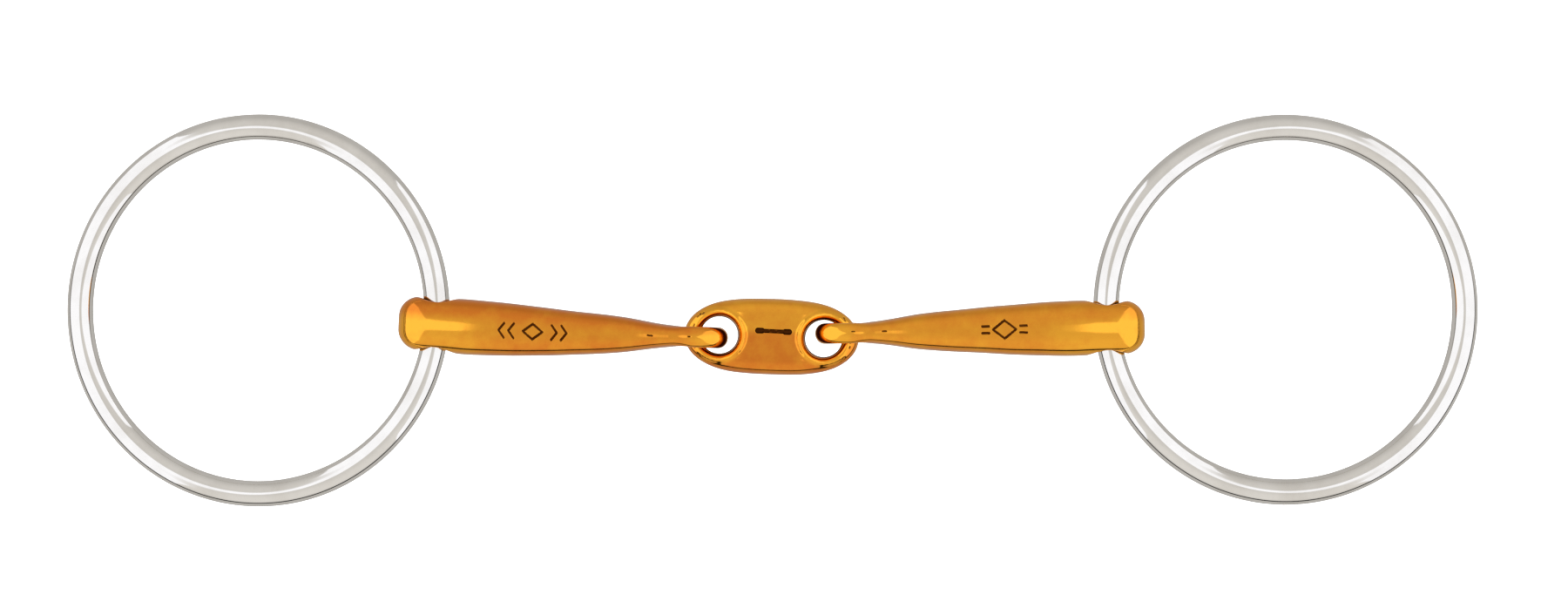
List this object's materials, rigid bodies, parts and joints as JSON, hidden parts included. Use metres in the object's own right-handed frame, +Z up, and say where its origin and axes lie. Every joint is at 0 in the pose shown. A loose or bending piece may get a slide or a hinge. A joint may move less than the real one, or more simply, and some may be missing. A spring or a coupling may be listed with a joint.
{
  "type": "snaffle bit",
  "caption": "Loose-ring, double-jointed snaffle bit: polished steel rings in a copper-alloy mouthpiece whose arms fold on a lozenge link.",
  "frame": {"origin": "centre of the footprint on the surface that the bit lies on: midway between the outer edges of the rings", "axes": "+X along the mouthpiece from the left ring to the right one, +Y across it in the plane of the rings, +Z up out of the surface"},
  "size_m": [0.2936, 0.0816, 0.012],
  "materials": {
    "polished_copper_alloy": "cast and mirror polished, golden copper alloy with a brown tarnish in its corners",
    "polished_stainless": "mirror-polished stainless steel rod with fine handling scratches"
  },
  "bodies": {
    "centre_link": {"centre_link": "polished_copper_alloy"},
    "left_arm": {"left_arm": "polished_copper_alloy"},
    "right_arm": {"right_arm": "polished_copper_alloy"},
    "left_ring": {"left_ring": "polished_stainless"},
    "right_ring": {"right_ring": "polished_stainless"}
  },
  "joints": [
    {"name": "left_arm_fold", "type": "hinge", "parent": "centre_link", "child": "left_arm", "pos_m": [-0.01661, -0.00544, 0.006], "axis": [0.0501, 0.9987, 0], "range_deg": [-40, 40]},
    {"name": "right_arm_fold", "type": "hinge", "parent": "centre_link", "child": "right_arm", "pos_m": [0.01597, -0.00469, 0.006], "axis": [0.0209, -0.9998, 0], "range_deg": [-40, 40]},
    {"name": "left_ring_swing", "type": "hinge", "parent": "left_arm", "child": "left_ring", "pos_m": [-0.06984, -0.00277, 0.006], "axis": [0.0501, 0.9987, 0], "range_deg": [-90, 90]},
    {"name": "right_ring_swing", "type": "hinge", "parent": "right_arm", "child": "right_ring", "pos_m": [0.06926, -0.00357, 0.006], "axis": [0.0209, -0.9998, 0], "range_deg": [-90, 90]}
  ]
}
